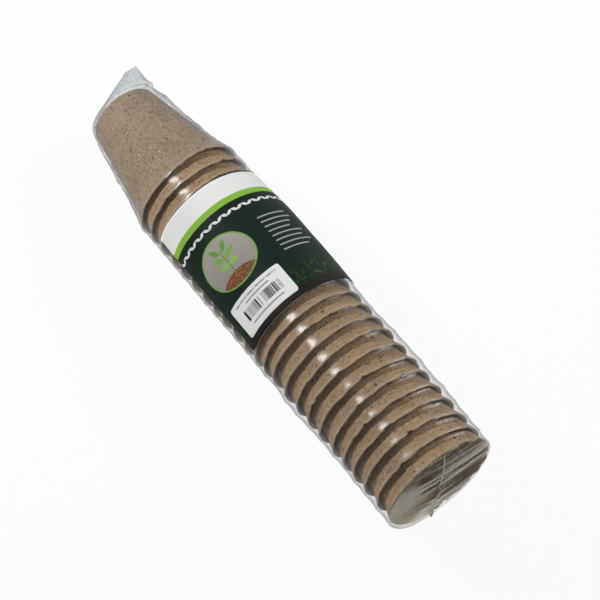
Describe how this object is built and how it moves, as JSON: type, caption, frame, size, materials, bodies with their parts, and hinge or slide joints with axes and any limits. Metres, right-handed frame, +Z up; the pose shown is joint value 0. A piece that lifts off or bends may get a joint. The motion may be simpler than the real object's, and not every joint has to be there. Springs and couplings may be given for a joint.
{
  "type": "wrapped stack of fibre plant pots",
  "caption": "Stack of nested round fibre plant pots lying on its side in clear shrink film, with a gathered film tail, a film-covered mouth end, a printed label and a code sticker.",
  "frame": {"origin": "under the middle of the pack, on the surface it lies on", "axes": "+X along the stack towards the open mouths, +Y across, +Z up"},
  "size_m": [0.3724, 0.0816, 0.0819],
  "materials": {
    "fibre": "moulded brown plant fibre, matt and rough with dark flecks",
    "film": "clear glossy shrink film",
    "label_print": "smooth printed paper",
    "sticker_paper": "plain white sticker paper"
  },
  "bodies": {
    "pack": {"film_sleeve": "film", "film_tail": "film", "label": "label_print", "code_sticker": "sticker_paper", "pot_01": "fibre"},
    "pot_02": {"pot_02": "fibre"},
    "pot_03": {"pot_03": "fibre"},
    "pot_04": {"pot_04": "fibre"},
    "pot_05": {"pot_05": "fibre"},
    "pot_06": {"pot_06": "fibre"},
    "pot_07": {"pot_07": "fibre"},
    "pot_08": {"pot_08": "fibre"},
    "pot_09": {"pot_09": "fibre"},
    "pot_10": {"pot_10": "fibre"},
    "pot_11": {"pot_11": "fibre"},
    "pot_12": {"pot_12": "fibre"},
    "pot_13": {"pot_13": "fibre"},
    "pot_14": {"pot_14": "fibre"},
    "pot_15": {"pot_15": "fibre"},
    "pot_16": {"pot_16": "fibre"},
    "pot_17": {"pot_17": "fibre"},
    "pot_18": {"pot_18": "fibre"},
    "pot_19": {"pot_19": "fibre"},
    "pot_20": {"pot_20": "fibre"},
    "pot_21": {"pot_21": "fibre"},
    "pot_22": {"pot_22": "fibre"},
    "pot_23": {"pot_23": "fibre"},
    "pot_24": {"pot_24": "fibre"},
    "mouth_film": {"film_mouth_panel": "film"}
  },
  "joints": [
    {"name": "pot_02_draw", "type": "slide", "parent": "pack", "child": "pot_02", "axis": [1, 0, 0], "range_m": [0, 0.07]},
    {"name": "pot_03_draw", "type": "slide", "parent": "pot_02", "child": "pot_03", "axis": [1, 0, 0], "range_m": [0, 0.07]},
    {"name": "pot_04_draw", "type": "slide", "parent": "pot_03", "child": "pot_04", "axis": [1, 0, 0], "range_m": [0, 0.07]},
    {"name": "pot_05_draw", "type": "slide", "parent": "pot_04", "child": "pot_05", "axis": [1, 0, 0], "range_m": [0, 0.07]},
    {"name": "pot_06_draw", "type": "slide", "parent": "pot_05", "child": "pot_06", "axis": [1, 0, 0], "range_m": [0, 0.07]},
    {"name": "pot_07_draw", "type": "slide", "parent": "pot_06", "child": "pot_07", "axis": [1, 0, 0], "range_m": [0, 0.07]},
    {"name": "pot_08_draw", "type": "slide", "parent": "pot_07", "child": "pot_08", "axis": [1, 0, 0], "range_m": [0, 0.07]},
    {"name": "pot_09_draw", "type": "slide", "parent": "pot_08", "child": "pot_09", "axis": [1, 0, 0], "range_m": [0, 0.07]},
    {"name": "pot_10_draw", "type": "slide", "parent": "pot_09", "child": "pot_10", "axis": [1, 0, 0], "range_m": [0, 0.07]},
    {"name": "pot_11_draw", "type": "slide", "parent": "pot_10", "child": "pot_11", "axis": [1, 0, 0], "range_m": [0, 0.07]},
    {"name": "pot_12_draw", "type": "slide", "parent": "pot_11", "child": "pot_12", "axis": [1, 0, 0], "range_m": [0, 0.07]},
    {"name": "pot_13_draw", "type": "slide", "parent": "pot_12", "child": "pot_13", "axis": [1, 0, 0], "range_m": [0, 0.07]},
    {"name": "pot_14_draw", "type": "slide", "parent": "pot_13", "child": "pot_14", "axis": [1, 0, 0], "range_m": [0, 0.07]},
    {"name": "pot_15_draw", "type": "slide", "parent": "pot_14", "child": "pot_15", "axis": [1, 0, 0], "range_m": [0, 0.07]},
    {"name": "pot_16_draw", "type": "slide", "parent": "pot_15", "child": "pot_16", "axis": [1, 0, 0], "range_m": [0, 0.07]},
    {"name": "pot_17_draw", "type": "slide", "parent": "pot_16", "child": "pot_17", "axis": [1, 0, 0], "range_m": [0, 0.07]},
    {"name": "pot_18_draw", "type": "slide", "parent": "pot_17", "child": "pot_18", "axis": [1, 0, 0], "range_m": [0, 0.07]},
    {"name": "pot_19_draw", "type": "slide", "parent": "pot_18", "child": "pot_19", "axis": [1, 0, 0], "range_m": [0, 0.07]},
    {"name": "pot_20_draw", "type": "slide", "parent": "pot_19", "child": "pot_20", "axis": [1, 0, 0], "range_m": [0, 0.07]},
    {"name": "pot_21_draw", "type": "slide", "parent": "pot_20", "child": "pot_21", "axis": [1, 0, 0], "range_m": [0, 0.07]},
    {"name": "pot_22_draw", "type": "slide", "parent": "pot_21", "child": "pot_22", "axis": [1, 0, 0], "range_m": [0, 0.07]},
    {"name": "pot_23_draw", "type": "slide", "parent": "pot_22", "child": "pot_23", "axis": [1, 0, 0], "range_m": [0, 0.07]},
    {"name": "pot_24_draw", "type": "slide", "parent": "pot_23", "child": "pot_24", "axis": [1, 0, 0], "range_m": [0, 0.07]},
    {"name": "mouth_film_peel", "type": "slide", "parent": "pot_24", "child": "mouth_film", "axis": [1, 0, 0], "range_m": [0, 0.06]}
  ]
}
